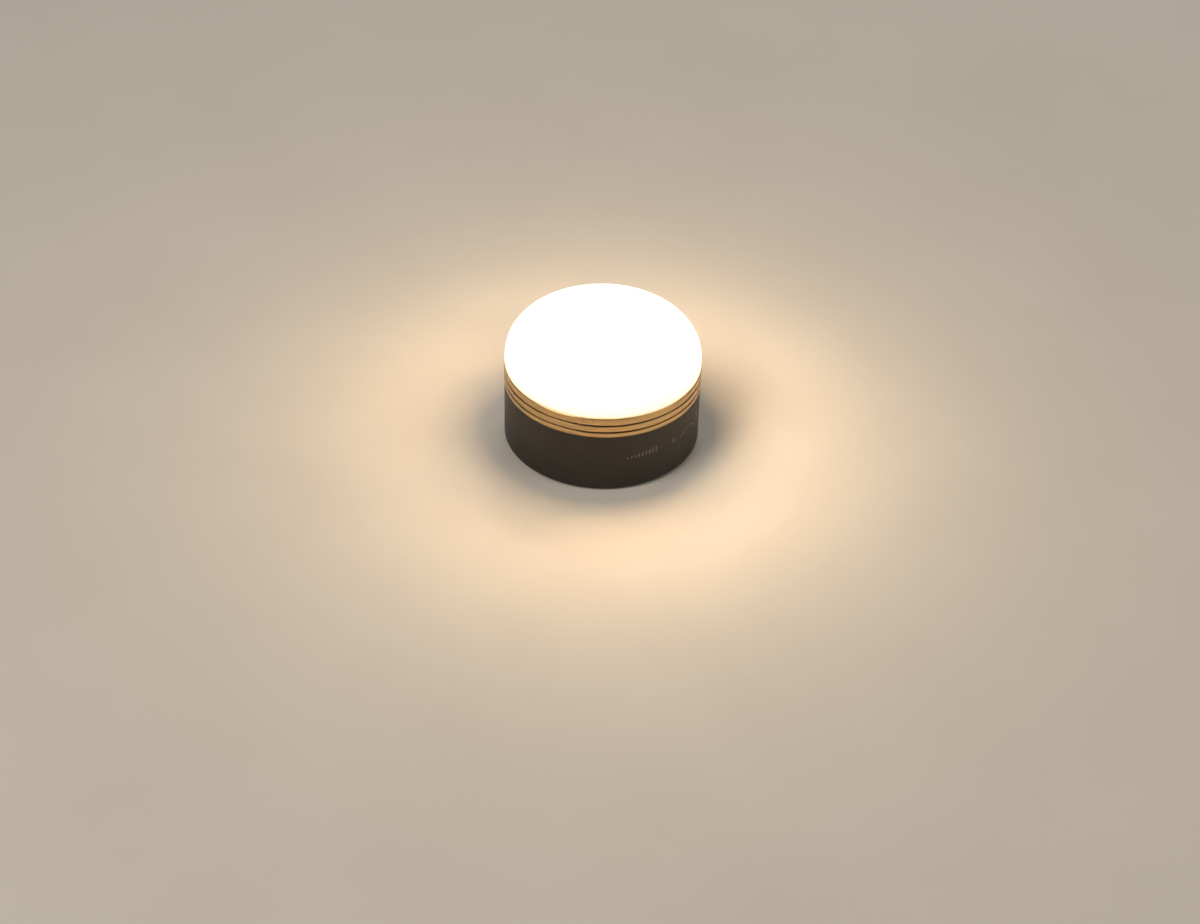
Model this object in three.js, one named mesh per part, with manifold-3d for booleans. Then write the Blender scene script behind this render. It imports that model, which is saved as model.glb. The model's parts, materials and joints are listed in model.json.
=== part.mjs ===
// A squat, free-standing smart light: a round, battery-powered lamp with an
// opal dome, a collar of three bands and a dark base. The middle band turns to
// dim the light, and a power button sits at the back beside the charging port.
// Millimetres, +Z up. The origin is on the surface it stands on, on its axis,
// and -Y is the front.

import * as THREE from 'three';
import { mergeVertices } from 'three/addons/utils/BufferGeometryUtils.js';
import Module from 'manifold-3d';

const wasm = await Module();
wasm.setup();

// Driving sizes of the outside, from the floor up

const radius = 54;            // collar and dome
const shellInset = 0.3;       // how far the base shell is set in from the collar
const shellWall = 2.4;
const shellBottom = 1.2;
const shellHeight = 34.8;
const trimBand = 2.7;         // lowest band of the collar
const dimmerBand = 3.5;       // middle band, which turns
const bezelBand = 4.3;        // top band, which holds the dome
const groove = 0.8;           // dark gap above and below the middle band
const domeRise = 28.5;
const domeWall = 2;
const edge = 0.3;             // chamfer on the collar's edges

// Clearances

const seat = 0.1;             // between pieces that rest on each other
const gap = 0.3;              // between a piece and the pocket it sits in
const slip = 0.2;             // between a glide and the face that runs on it

// Radii and heights that follow from them

const shellRadius = radius - shellInset;
const shellInner = shellRadius - shellWall;
const shellTop = shellBottom + shellHeight;
const frameBottom = shellTop + 2 * seat;
const trimTop = frameBottom + trimBand;
const dimmerBottom = trimTop + groove;
const dimmerTop = dimmerBottom + dimmerBand;
const bezelBottom = dimmerTop + groove;
const bezelTop = bezelBottom + bezelBand;

// Places round the axis, in degrees from +X towards +Y

const quarters = [0, 90, 180, 270]; // base screws
const thirds = [30, 150, 270];      // screws of the frame and the heat sink
const boardThirds = [90, 210, 330]; // standoffs of the main board
const diagonals = [45, 135, 225, 315]; // magnets of the dimmer ring
const portAngle = 90;               // charging port, straight back
const buttonAngle = 70;
const statusAngle = 110;

const roundSides = 36;
const smallSides = 12;
const wireSides = 8;

// Colours and finishes

const finish = (color, roughness, metalness = 0) =>
  new THREE.MeshStandardMaterial({ color, roughness, metalness });

const opal = finish(0xfff1d8, 0.5);
opal.emissive = new THREE.Color(0xffe2b0);
const bronze = finish(0xb08d5c, 0.35, 0.9);
const charcoal = finish(0x2a2826, 0.6);
const silicone = finish(0x1b1b1b, 0.85);
const slipPlastic = finish(0xe9e7e0, 0.5);
const whitePlastic = finish(0xf4f2ec, 0.4);
const boardWhite = finish(0xf2f1ec, 0.5);
const boardGreen = finish(0x1f5a3a, 0.5);
const aluminium = finish(0xc9cbce, 0.35, 1);
const steel = finish(0x8e9094, 0.3, 1);
const brass = finish(0xb99a54, 0.3, 1);
const nickel = finish(0xd8d6d0, 0.25, 1);
const chipBlack = finish(0x161616, 0.5);
const pouch = finish(0xb9bcc0, 0.3, 0.8);
const redWire = finish(0xa82020, 0.5);
const blackWire = finish(0x191919, 0.5);
const phosphor = finish(0xf3d45a, 0.5);

const lamp = new THREE.Group();

function add(name, geometry, material) {
  const mesh = new THREE.Mesh(geometry, material);
  mesh.name = name;
  lamp.add(mesh);
}

// Solids and their geometry

function solidOf(geometry) {
  const bare = geometry.clone();
  bare.deleteAttribute('normal');
  bare.deleteAttribute('uv');
  const merged = mergeVertices(bare, 1e-4);
  const index = merged.index.array;
  const kept = [];
  for (let i = 0; i < index.length; i += 3) {
    const [a, b, c] = [index[i], index[i + 1], index[i + 2]];
    if (a !== b && b !== c && c !== a) kept.push(a, b, c);
  }
  return new wasm.Manifold(new wasm.Mesh({
    numProp: 3,
    vertProperties: new Float32Array(merged.attributes.position.array),
    triVerts: new Uint32Array(kept),
  }));
}

function geometryOf(solid) {
  const { vertProperties, triVerts } = solid.getMesh();
  const geometry = new THREE.BufferGeometry();
  geometry.setAttribute('position', new THREE.BufferAttribute(vertProperties, 3));
  geometry.setIndex(new THREE.BufferAttribute(triVerts, 1));
  geometry.computeVertexNormals();
  return geometry;
}

// body, with the added geometries joined on and then the cutters taken away
function shaped(body, { joined = [], cutters = [] }) {
  let solid = solidOf(body);
  for (const piece of joined) solid = solid.add(solidOf(piece));
  for (const cutter of cutters) solid = solid.subtract(solidOf(cutter));
  return geometryOf(solid);
}

// A turned piece: the profile's [radius, height] points run up its outside
function turned(profile, sides = roundSides) {
  const points = profile.map(([r, z]) => new THREE.Vector2(r, z));
  const onAxis = profile[0][0] === 0 && profile.at(-1)[0] === 0;
  if (!onAxis) points.push(points[0].clone());
  return new THREE.LatheGeometry(points, sides).rotateX(Math.PI / 2);
}

function tubeRing(inner, outer, bottom, top) {
  return turned([[inner, bottom], [outer, bottom], [outer, top], [inner, top]]);
}

function peg(r, bottom, top, sides = smallSides) {
  return new THREE.CylinderGeometry(r, r, top - bottom, sides)
    .rotateX(Math.PI / 2)
    .translate(0, 0, (bottom + top) / 2);
}

// A box, given its extent along each axis
function block([x0, x1], [y0, y1], [z0, z1]) {
  return new THREE.BoxGeometry(x1 - x0, y1 - y0, z1 - z0)
    .translate((x0 + x1) / 2, (y0 + y1) / 2, (z0 + z1) / 2);
}

// Turns a geometry that is drawn out along +X to an angle round the axis
const turnTo = (geometry, degrees) => geometry.rotateZ(THREE.MathUtils.degToRad(degrees));

// A peg that lies along a radius of the lamp, from one distance to another
function radialPeg(r, from, to, degrees, z, sides = smallSides) {
  const lying = new THREE.CylinderGeometry(r, r, to - from, sides)
    .rotateZ(-Math.PI / 2)
    .translate((from + to) / 2, 0, z);
  return turnTo(lying, degrees);
}

// The same peg shape upright, at a distance from the axis
const pegAt = (r, bottom, top, distance, degrees, sides = smallSides) =>
  turnTo(peg(r, bottom, top, sides).translate(distance, 0, 0), degrees);

function roundedRectangle(width, height, corner) {
  const [w, h] = [width / 2, height / 2];
  const shape = new THREE.Shape();
  shape.moveTo(w, corner - h);
  shape.absarc(w - corner, h - corner, corner, 0, Math.PI / 2);
  shape.absarc(corner - w, h - corner, corner, Math.PI / 2, Math.PI);
  shape.absarc(corner - w, corner - h, corner, Math.PI, 1.5 * Math.PI);
  shape.absarc(w - corner, corner - h, corner, 1.5 * Math.PI, 2 * Math.PI);
  return shape;
}

// An outline of width along X and height along Z, pushed back from y0 to y1
function pushedBack(shape, y0, y1, z) {
  return new THREE.ExtrudeGeometry(shape, { depth: y1 - y0, bevelEnabled: false, curveSegments: 6 })
    .rotateX(Math.PI / 2)
    .translate(0, y1, z);
}

function wire(points, r) {
  const section = new THREE.Shape();
  section.absarc(0, 0, r, 0, 2 * Math.PI);
  return new THREE.ExtrudeGeometry(section, {
    extrudePath: new THREE.CatmullRomCurve3(points.map((p) => new THREE.Vector3(...p))),
    steps: 8,
    curveSegments: wireSides / 2,
    bevelEnabled: false,
  });
}

// A screw with its head up or down: the shank runs from tip to the head's seat
function screw(shankRadius, headRadius, headHeight, tip, headSeat) {
  const up = Math.sign(headSeat - tip);
  const top = headSeat + up * headHeight;
  const profile = [
    [0, tip], [shankRadius * 0.6, tip], [shankRadius, tip + up * shankRadius * 0.6],
    [shankRadius, headSeat], [headRadius, headSeat],
    [headRadius, top - up * headHeight * 0.3], [headRadius * 0.8, top], [0, top],
  ];
  return turned(up > 0 ? profile : profile.reverse(), smallSides);
}

// Screw sizes: a shank, the clear hole round it, and its head

const screwShank = 1.1;
const screwHole = screwShank + gap;
const screwHead = 2.1;
const screwHeadHeight = 1.3;
const bossRadius = 3.2;

// Silicone foot ring, pressed into a groove of the base plate

const plateRadius = shellInner - gap;
const plateRim = 1.2;          // plate left outside the foot ring
const footOuter = plateRadius - plateRim;
const footWidth = 4;
const footHeight = 2.6;
const footInner = footOuter - footWidth;

add('foot_ring', tubeRing(footInner, footOuter, 0, footHeight), silicone);

// Base plate: closes the shell from below, with sunk screw heads

const plateBottom = shellBottom + 0.2;
const plateThickness = 3;
const plateTop = plateBottom + plateThickness;
const baseScrewRing = footInner - screwHead - 1.7;
const headSink = 1.6;
const baseHeadSeat = plateBottom + headSink;
const baseScrewLength = 10;

const plateBlank = turned([
  [0, plateBottom], [footInner - gap, plateBottom], [footInner - gap, footHeight + gap],
  [footOuter + gap, footHeight + gap], [footOuter + gap, plateBottom],
  [plateRadius, plateBottom], [plateRadius, plateTop], [0, plateTop],
]);
add('base_plate', shaped(plateBlank, {
  cutters: quarters.flatMap((angle) => [
    pegAt(screwHead + gap, plateBottom - 1, baseHeadSeat, baseScrewRing, angle),
    pegAt(screwHole, plateBottom, plateTop + 1, baseScrewRing, angle),
  ]),
}), charcoal);

quarters.forEach((angle, i) => {
  const geometry = screw(screwShank, screwHead, screwHeadHeight,
    baseHeadSeat - seat + baseScrewLength, baseHeadSeat - seat);
  add(`base_screw_${i + 1}`, turnTo(geometry.translate(baseScrewRing, 0, 0), angle), steel);
});

// Flat gasket between the plate and the shell's ledge

const gasketHeight = 1.2;
const gasketWidth = 2.2;
const ledgeBottom = plateTop + gasketHeight + 2 * seat;
const ledgeHeight = 1.5;
const gasketOuter = plateRadius - seat;

add('base_gasket', tubeRing(gasketOuter - gasketWidth, gasketOuter,
  plateTop + seat, plateTop + seat + gasketHeight), silicone);

// Battery tray, pouch cell and its protection board

const packLength = 56;
const packWidth = 42;
const packHeight = 10;
const trayWall = 1.6;
const trayFloor = 1.2;
const trayHeight = 8.2;
const trayClear = 0.9;
const trayBottom = plateTop + seat;
const packBottom = trayBottom + trayFloor + seat;
const packTop = packBottom + packHeight;
const trayInner = [packLength + 2 * trayClear, packWidth + 2 * trayClear];

add('battery_tray', shaped(
  block([-trayInner[0] / 2 - trayWall, trayInner[0] / 2 + trayWall],
    [-trayInner[1] / 2 - trayWall, trayInner[1] / 2 + trayWall],
    [trayBottom, trayBottom + trayHeight]),
  {
    cutters: [block([-trayInner[0] / 2, trayInner[0] / 2], [-trayInner[1] / 2, trayInner[1] / 2],
      [trayBottom + trayFloor, trayBottom + trayHeight + 1])],
  },
), charcoal);

const packEdge = 1.2;
const packShape = roundedRectangle(packLength - 2 * packEdge, packWidth - 2 * packEdge, 3);
add('battery_pack', new THREE.ExtrudeGeometry(packShape, {
  depth: packHeight - 2 * packEdge,
  bevelThickness: packEdge,
  bevelSize: packEdge,
  bevelSegments: 1,
  curveSegments: 3,
}).translate(0, 0, packBottom + packEdge), pouch);

const cellBoardWidth = 5;
const cellBoardLength = 30;
const cellBoardY = packWidth / 2 - 5;
const cellBoardTop = packTop + seat + 1;

add('battery_board', block([-cellBoardLength / 2, cellBoardLength / 2],
  [cellBoardY - cellBoardWidth / 2, cellBoardY + cellBoardWidth / 2],
  [packTop + seat, cellBoardTop]), boardGreen);

// Main board, hung under the frame on three standoffs

const upperBossRadius = 3;
const frameScrewRing = shellInner - upperBossRadius - 0.4;
const boardThickness = 1.6;
const boardRadius = frameScrewRing - upperBossRadius - 1.4;
const tongueRadius = shellInner - 3.1;
const tongueSpread = 28;       // degrees to each side of straight back
const standoffHeight = 7.9;
const standoffRing = boardRadius - 6.5;
const standoffRadius = 2.8;
const boardTop = frameBottom - standoffHeight - 2 * seat;
const boardBottom = boardTop - boardThickness;
const portDrop = 1.75;         // port, button and status light centres below the board
const portHeight = boardBottom - portDrop;

const boardShape = new THREE.Shape();
const tongueFrom = THREE.MathUtils.degToRad(portAngle - tongueSpread);
const tongueTo = THREE.MathUtils.degToRad(portAngle + tongueSpread);
boardShape.absarc(0, 0, boardRadius, tongueTo, tongueFrom + 2 * Math.PI);
boardShape.absarc(0, 0, tongueRadius, tongueFrom, tongueTo);
const boardBlank = new THREE.ExtrudeGeometry(boardShape, {
  depth: boardThickness, bevelEnabled: false, curveSegments: 32,
}).translate(0, 0, boardBottom);
add('main_board', shaped(boardBlank, {
  cutters: boardThirds.map((angle) =>
    pegAt(screwHole, boardBottom - 1, boardTop + 1, standoffRing, angle)),
}), boardGreen);

const boardScrewGrip = 5;
boardThirds.forEach((angle, i) => {
  const post = pegAt(standoffRadius, boardTop + seat, frameBottom - seat, standoffRing, angle, 6);
  const hole = pegAt(screwHole, boardTop, boardTop + boardScrewGrip + 1, standoffRing, angle);
  add(`standoff_${i + 1}`, shaped(post, { cutters: [hole] }), brass);
  const geometry = screw(screwShank, screwHead, screwHeadHeight,
    boardTop + boardScrewGrip, boardBottom - seat);
  add(`board_screw_${i + 1}`, turnTo(geometry.translate(standoffRing, 0, 0), angle), steel);
});

// What stands on top of the main board

const onBoard = boardTop + seat;
const part = (x, y, width, depth, height) =>
  block([x - width / 2, x + width / 2], [y - depth / 2, y + depth / 2], [onBoard, onBoard + height]);

add('radio_module', part(-18, -9, 18, 14, 2.6), nickel);
add('control_chip', part(2, -18, 9, 9, 1.1), chipBlack);
add('power_inductor', part(17, -16, 9, 9, 4.4), chipBlack);
[[24, 0], [24, 10]].forEach(([x, y], i) => {
  add(`capacitor_${i + 1}`, peg(3.2, onBoard, onBoard + 5.2).translate(x, y, 0), aluminium);
});

// Charging port, under the board's tongue, with its mouth near the shell's face

const portShell = [9, 3.2];
const portMouth = [8.3, 2.5];
const portDepth = 7.3;
const portFront = shellRadius - 0.6;
const portBack = portFront - portDepth;
const portWall = 1;

add('charging_port', shaped(
  pushedBack(roundedRectangle(...portShell, portShell[1] / 2 - 0.01), portBack, portFront, portHeight),
  {
    cutters: [
      pushedBack(roundedRectangle(...portMouth, portMouth[1] / 2 - 0.01),
        portBack + portWall, portFront + 1, portHeight),
    ],
  },
), nickel);

const tongueThickness = 0.7;
add('port_tongue', block([-3.3, 3.3], [portBack + portWall + seat, portFront - 0.9],
  [portHeight - tongueThickness / 2, portHeight + tongueThickness / 2]), chipBlack);

// Power button: a round cap with a flange that keeps it behind the shell

const capRadius = 3.3;
const capProud = 0.6;
const flangeRadius = 4.3;
const flangeThickness = 1.1;
const pressTravel = 0.7;
const nubLength = 0.9;
const flangeFace = Math.sqrt(shellInner ** 2 - flangeRadius ** 2) - gap;
const flangeBack = flangeFace - flangeThickness;
const nubTip = flangeBack - nubLength;

// The cap's profile along its own axis, stood up and then laid along a radius
const capEnd = shellRadius + capProud;
const capStanding = turned([
  [0, nubTip], [1.2, nubTip], [1.2, flangeBack], [flangeRadius, flangeBack],
  [flangeRadius, flangeFace], [capRadius, flangeFace], [capRadius, capEnd - 0.5],
  [capRadius - 0.5, capEnd], [0, capEnd],
], smallSides);
add('power_button', turnTo(
  capStanding.rotateY(Math.PI / 2).translate(0, 0, portHeight), buttonAngle,
), charcoal);

const switchFace = nubTip - pressTravel - seat;
add('button_switch', turnTo(
  block([switchFace - 4, switchFace], [-3, 3], [portHeight - 1.6, portHeight + 1.6]),
  buttonAngle,
), chipBlack);

// Status light pipe

const pipeRadius = 1.2;
const pipeLength = 7;
add('light_pipe', radialPeg(pipeRadius, shellRadius - 0.1 - pipeLength, shellRadius - 0.1,
  statusAngle, portHeight), whitePlastic);

// Base shell: an open drum with a ledge, three lower and three upper bosses

const baseBossTop = plateTop + 9.6;
const upperBossLength = 8.7;
const spigotDepth = 3.2;
const upperBossTop = frameBottom - spigotDepth - gap;
const upperBossBottom = upperBossTop - upperBossLength;
const ledgeInner = gasketOuter - gasketWidth - seat;

const shellBlank = turned([
  [shellInner, shellBottom], [shellRadius - 1, shellBottom], [shellRadius, shellBottom + 1],
  [shellRadius, shellTop - edge], [shellRadius - edge, shellTop], [shellInner, shellTop],
  [shellInner, ledgeBottom + ledgeHeight], [ledgeInner, ledgeBottom + ledgeHeight],
  [ledgeInner, ledgeBottom], [shellInner, ledgeBottom],
]);
const rib = (from, bottom, top, angle) =>
  turnTo(block([from, shellInner + shellWall / 2], [-0.9, 0.9], [bottom, top]), angle);
add('body_shell', shaped(shellBlank, {
  joined: [
    ...quarters.flatMap((angle) => [
      pegAt(bossRadius, plateTop + gap, baseBossTop, baseScrewRing, angle),
      rib(baseScrewRing + 1.8, ledgeBottom, baseBossTop - 0.5, angle),
    ]),
    ...thirds.flatMap((angle) => [
      pegAt(upperBossRadius, upperBossBottom, upperBossTop, frameScrewRing, angle),
      rib(frameScrewRing + 1.8, upperBossBottom + 0.5, upperBossTop - 0.5, angle),
    ]),
  ],
  cutters: [
    ...quarters.map((angle) =>
      pegAt(screwHole, plateTop, baseBossTop - 1, baseScrewRing, angle)),
    ...thirds.map((angle) =>
      pegAt(screwHole, upperBossBottom + 1, upperBossTop + 1, frameScrewRing, angle)),
    pushedBack(roundedRectangle(portShell[0] + 2 * gap, portShell[1] + 2 * gap, portShell[1] / 2),
      shellInner - 3, shellRadius + 2, portHeight),
    radialPeg(capRadius + gap, shellInner - 3, shellRadius + 2, buttonAngle, portHeight),
    radialPeg(pipeRadius + gap, shellInner - 3, shellRadius + 2, statusAngle, portHeight),
  ],
}), charcoal);

// Frame: its flange is the collar's lowest band, its hub carries the dimmer ring

const glideSetBack = 1.6;      // from the collar's face, so that the groove stays open
const glideOuter = radius - glideSetBack;
const glideWidth = 1.8;
const glideInner = glideOuter - glideWidth;
const glideSunk = 0.6;
const glideHeight = glideSunk + groove - slip - seat;
const spigotOuter = shellInner - gap;
const spigotWall = 1.6;
const hubOuter = frameScrewRing - screwHead - gap;
const hubWall = 4.5;
const hubInner = hubOuter - hubWall;
const deckThickness = 1.8;
const deckWidth = 12.5;
const deckHole = hubInner - deckWidth;
const deckTop = frameBottom + deckThickness;
const sinkScrewRing = deckHole + 3.5;
const sensorWidth = 4.4;
const sensorHeight = 2.6;
const frameHeadSeat = trimTop - screwHeadHeight - 2 * seat;

const frameBlank = turned([
  [spigotOuter, frameBottom - spigotDepth], [spigotOuter, frameBottom],
  [radius - edge, frameBottom], [radius, frameBottom + edge],
  [radius, trimTop - edge], [radius - edge, trimTop],
  [glideOuter + gap, trimTop], [glideOuter + gap, trimTop - glideSunk],
  [glideInner - gap, trimTop - glideSunk], [glideInner - gap, trimTop],
  [hubOuter, trimTop], [hubOuter, bezelBottom - seat], [hubInner, bezelBottom - seat],
  [hubInner, deckTop], [deckHole, deckTop], [deckHole, frameBottom],
  [spigotOuter - spigotWall, frameBottom], [spigotOuter - spigotWall, frameBottom - spigotDepth],
]);
add('mid_frame', shaped(frameBlank, {
  joined: thirds.map((angle) =>
    pegAt(upperBossRadius, upperBossTop + gap, frameBottom + 0.5, frameScrewRing, angle)),
  cutters: [
    ...thirds.flatMap((angle) => [
      pegAt(screwHead + seat, frameHeadSeat, trimTop + 1, frameScrewRing, angle),
      pegAt(screwHole, upperBossTop, frameHeadSeat + 1, frameScrewRing, angle),
      pegAt(screwHole, frameBottom - 1, deckTop + 1, sinkScrewRing, angle),
    ]),
    block([-sensorWidth / 2 - gap, sensorWidth / 2 + gap], [hubInner - 1, hubOuter + 1],
      [trimTop, trimTop + sensorHeight + gap + seat]),
  ],
}), bronze);

thirds.forEach((angle, i) => {
  const geometry = screw(screwShank, screwHead - gap + seat, screwHeadHeight,
    upperBossBottom + 2, frameHeadSeat + seat);
  add(`frame_screw_${i + 1}`, turnTo(geometry.translate(frameScrewRing, 0, 0), angle), steel);
});

add('ring_sensor', block([-sensorWidth / 2, sensorWidth / 2], [hubInner + gap, hubOuter - gap],
  [trimTop + seat, trimTop + seat + sensorHeight]), chipBlack);

// Dimmer ring on two slip rings, with the magnets that its sensor reads

const dimmerInner = hubOuter + gap;
const magnetRadius = 1.5;
const magnetDepth = 2.2;
const magnetWall = 1;          // ring left between a magnet and the hub
const magnetRing = dimmerInner + magnetRadius + magnetWall;

add('dimmer_ring', shaped(turned([
  [dimmerInner, dimmerBottom], [radius - edge, dimmerBottom], [radius, dimmerBottom + edge],
  [radius, dimmerTop - edge], [radius - edge, dimmerTop], [dimmerInner, dimmerTop],
]), {
  cutters: diagonals.map((angle) =>
    pegAt(magnetRadius + gap, dimmerBottom - 1, dimmerBottom + magnetDepth + gap, magnetRing, angle)),
}), bronze);

diagonals.forEach((angle, i) => {
  add(`ring_magnet_${i + 1}`, pegAt(magnetRadius, dimmerBottom + seat, dimmerBottom + magnetDepth,
    magnetRing, angle), nickel);
});

add('lower_glide', tubeRing(glideInner, glideOuter,
  trimTop - glideSunk + seat, trimTop - glideSunk + seat + glideHeight), slipPlastic);
add('upper_glide', tubeRing(glideInner, glideOuter,
  bezelBottom + glideSunk - seat - glideHeight, bezelBottom + glideSunk - seat), slipPlastic);

// Bezel: the collar's top band, bonded to the hub, with a rebate for the dome

const bezelFloor = 1.6;
const bezelLip = 2.1;
const rebate = radius - bezelLip;

add('bezel_ring', turned([
  [hubInner + slip, bezelBottom], [glideInner - gap, bezelBottom],
  [glideInner - gap, bezelBottom + glideSunk], [glideOuter + gap, bezelBottom + glideSunk],
  [glideOuter + gap, bezelBottom], [radius - edge, bezelBottom], [radius, bezelBottom + edge],
  [radius, bezelTop - edge], [radius - edge, bezelTop], [rebate, bezelTop],
  [rebate, bezelBottom + bezelFloor], [hubInner + slip, bezelBottom + bezelFloor],
]), bronze);

// Heat sink on the frame's deck, with fins hanging through its hole

const sinkHeight = 3;
const sinkBottom = deckTop + seat;
const sinkTop = sinkBottom + sinkHeight;
const finLength = 2.8;
const finThickness = 1.6;
const finPitch = 7;
const finReach = deckHole - 1.5;
const wireHole = 4.5;

const fins = [];
for (let x = finPitch; x < finReach - finThickness; x += finPitch) {
  const reach = Math.sqrt(finReach ** 2 - (x + finThickness) ** 2);
  for (const side of [-x, x]) {
    fins.push(block([side - finThickness / 2, side + finThickness / 2], [-reach, reach],
      [sinkBottom - finLength, sinkBottom + 0.5]));
  }
}
add('heat_sink', shaped(tubeRing(wireHole, hubInner - gap, sinkBottom, sinkTop), {
  joined: fins,
  cutters: thirds.map((angle) =>
    pegAt(screwHole, sinkBottom - 1, sinkTop + 1, sinkScrewRing, angle)),
}), aluminium);

// LED board with a ring of eight LEDs, screwed through the heat sink to the deck

const ledBoardRadius = hubInner - 2.8;
const ledBoardBottom = sinkTop + seat;
const ledBoardTop = ledBoardBottom + boardThickness;
const ledCount = 8;
const ledRing = sinkScrewRing - 8;
const ledSize = 3.5;
const ledHeight = 0.9;

add('led_board', shaped(peg(ledBoardRadius, ledBoardBottom, ledBoardTop, roundSides), {
  cutters: thirds.map((angle) =>
    pegAt(screwHole, ledBoardBottom - 1, ledBoardTop + 1, sinkScrewRing, angle)),
}), boardWhite);

for (let i = 0; i < ledCount; i += 1) {
  const led = block([ledRing - ledSize / 2, ledRing + ledSize / 2], [-ledSize / 2, ledSize / 2],
    [ledBoardTop + seat, ledBoardTop + seat + ledHeight]);
  add(`led_${i + 1}`, turnTo(led, i * 360 / ledCount), phosphor);
}

thirds.forEach((angle, i) => {
  const geometry = screw(screwShank, screwHead, screwHeadHeight,
    frameBottom + 0.4, ledBoardTop + seat);
  add(`sink_screw_${i + 1}`, turnTo(geometry.translate(sinkScrewRing, 0, 0), angle), steel);
});

// Reflector: a white flared dish from the LED board out to the dome

const reflectorBottom = ledBoardTop + seat;
const reflectorWall = 1;
const reflectorFoot = ledBoardRadius + 0.4;
const reflectorWaist = hubInner - gap;
const reflectorRim = rebate - 3.3;
const waistHeight = bezelBottom + bezelFloor + 0.6;

add('reflector', turned([
  [reflectorFoot - 2.6, reflectorBottom], [reflectorFoot, reflectorBottom],
  [reflectorWaist, waistHeight], [reflectorRim, bezelTop - reflectorWall - seat],
  [reflectorRim, bezelTop - seat], [reflectorWaist - 0.6, waistHeight + reflectorWall],
  [reflectorFoot - reflectorWall, reflectorBottom + reflectorWall],
  [reflectorFoot - 2.6, reflectorBottom + reflectorWall],
]), whitePlastic);

// Opal dome: a full, soft-shouldered shell whose skirt drops into the bezel

const domeBottom = bezelTop + 2 * seat;
const domeRadius = radius - edge;
const shoulder = 2.4;          // powers of the dome's curve, outward and upward
const crown = 2.75;
const skirtOuter = rebate - gap;
const skirtInner = skirtOuter - domeWall;
const skirtBottom = bezelBottom + bezelFloor + gap;
const domeSteps = 10;

// Points of one curve of the dome from its rim up to the axis
function domeCurve(reach, rise) {
  const points = [];
  for (let i = 0; i <= domeSteps; i += 1) {
    const t = (i / domeSteps) * Math.PI / 2;
    const r = i === domeSteps ? 0 : reach * Math.cos(t) ** (2 / shoulder);
    points.push([r, domeBottom + rise * Math.sin(t) ** (2 / crown)]);
  }
  return points;
}

add('diffuser_dome', turned([
  ...domeCurve(skirtInner, domeRise - domeWall).reverse(),
  [skirtInner, skirtBottom], [skirtOuter, skirtBottom], [skirtOuter, domeBottom],
  ...domeCurve(domeRadius, domeRise),
]), opal);

// Wires, in pairs: from the cell up to the main board, and on to the LED board

const wireRadius = 0.8;
const wireSlack = 4;           // how far a wire's top end stands behind its foot

// A wire that leaves its foot and meets its top end square, with a lean between
function risingWire(x, footY, bottom, top) {
  const rise = top - bottom;
  const straight = 0.15 * rise;
  return wire([
    [x, footY, bottom], [x, footY, bottom + straight],
    [x, footY + wireSlack / 2, bottom + rise / 2],
    [x, footY + wireSlack, top - straight], [x, footY + wireSlack, top],
  ], wireRadius);
}

[-1, 1].forEach((side, i) => {
  const insulation = side < 0 ? blackWire : redWire;
  const spread = side * (wireRadius + seat) * 2;
  add(`battery_lead_${i + 1}`,
    risingWire(9 + spread, cellBoardY, cellBoardTop + gap, boardBottom - gap), insulation);
  add(`led_lead_${i + 1}`,
    risingWire(spread, -wireSlack, boardTop + gap, ledBoardBottom - gap), insulation);
});

export default lamp;
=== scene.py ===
"""A squat smart light: an opal dome over a collar of three bands and a dark, battery-powered base.

Sections follow the lamp as it is put together, from the foot ring up to the dome.
Sizes are in metres, +Z is up, and -Y is the front.
"""

import json
import math

import bpy
import numpy as np
from mathutils import Matrix, Vector

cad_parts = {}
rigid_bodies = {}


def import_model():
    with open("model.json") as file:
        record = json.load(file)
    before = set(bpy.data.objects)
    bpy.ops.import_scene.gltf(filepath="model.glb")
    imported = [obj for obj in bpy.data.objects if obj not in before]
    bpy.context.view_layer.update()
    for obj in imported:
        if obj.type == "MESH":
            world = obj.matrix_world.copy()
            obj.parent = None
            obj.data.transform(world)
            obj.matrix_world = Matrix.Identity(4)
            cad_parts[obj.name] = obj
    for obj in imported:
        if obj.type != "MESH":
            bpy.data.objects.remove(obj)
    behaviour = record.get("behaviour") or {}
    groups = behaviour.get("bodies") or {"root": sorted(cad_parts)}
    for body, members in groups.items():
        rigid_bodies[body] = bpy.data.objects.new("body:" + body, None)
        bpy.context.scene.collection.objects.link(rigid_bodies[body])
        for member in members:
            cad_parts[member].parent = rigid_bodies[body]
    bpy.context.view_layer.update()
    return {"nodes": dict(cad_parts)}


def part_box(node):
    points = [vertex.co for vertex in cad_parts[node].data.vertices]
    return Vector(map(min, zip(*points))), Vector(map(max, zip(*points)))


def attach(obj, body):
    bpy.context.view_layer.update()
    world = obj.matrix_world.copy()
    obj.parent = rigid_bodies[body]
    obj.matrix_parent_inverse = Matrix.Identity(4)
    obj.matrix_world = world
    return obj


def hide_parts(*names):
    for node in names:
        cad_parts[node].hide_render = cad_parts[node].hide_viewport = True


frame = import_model()
nodes = frame["nodes"]
mm = 0.001


# ---------------------------------------------------------------- stage and camera
# A pale matt floor under soft studio light, kept low enough for the lamp's own glow to
# show on the floor around it. The camera looks down at the lamp from 1.4 metres away,
# with a short telephoto lens.

camera_height = 863.2 * mm
camera_back = 1130.4 * mm
camera_aside = -0.1 * mm
camera_pitch = math.radians(38.08)
camera_roll = math.radians(1.6)

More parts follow.
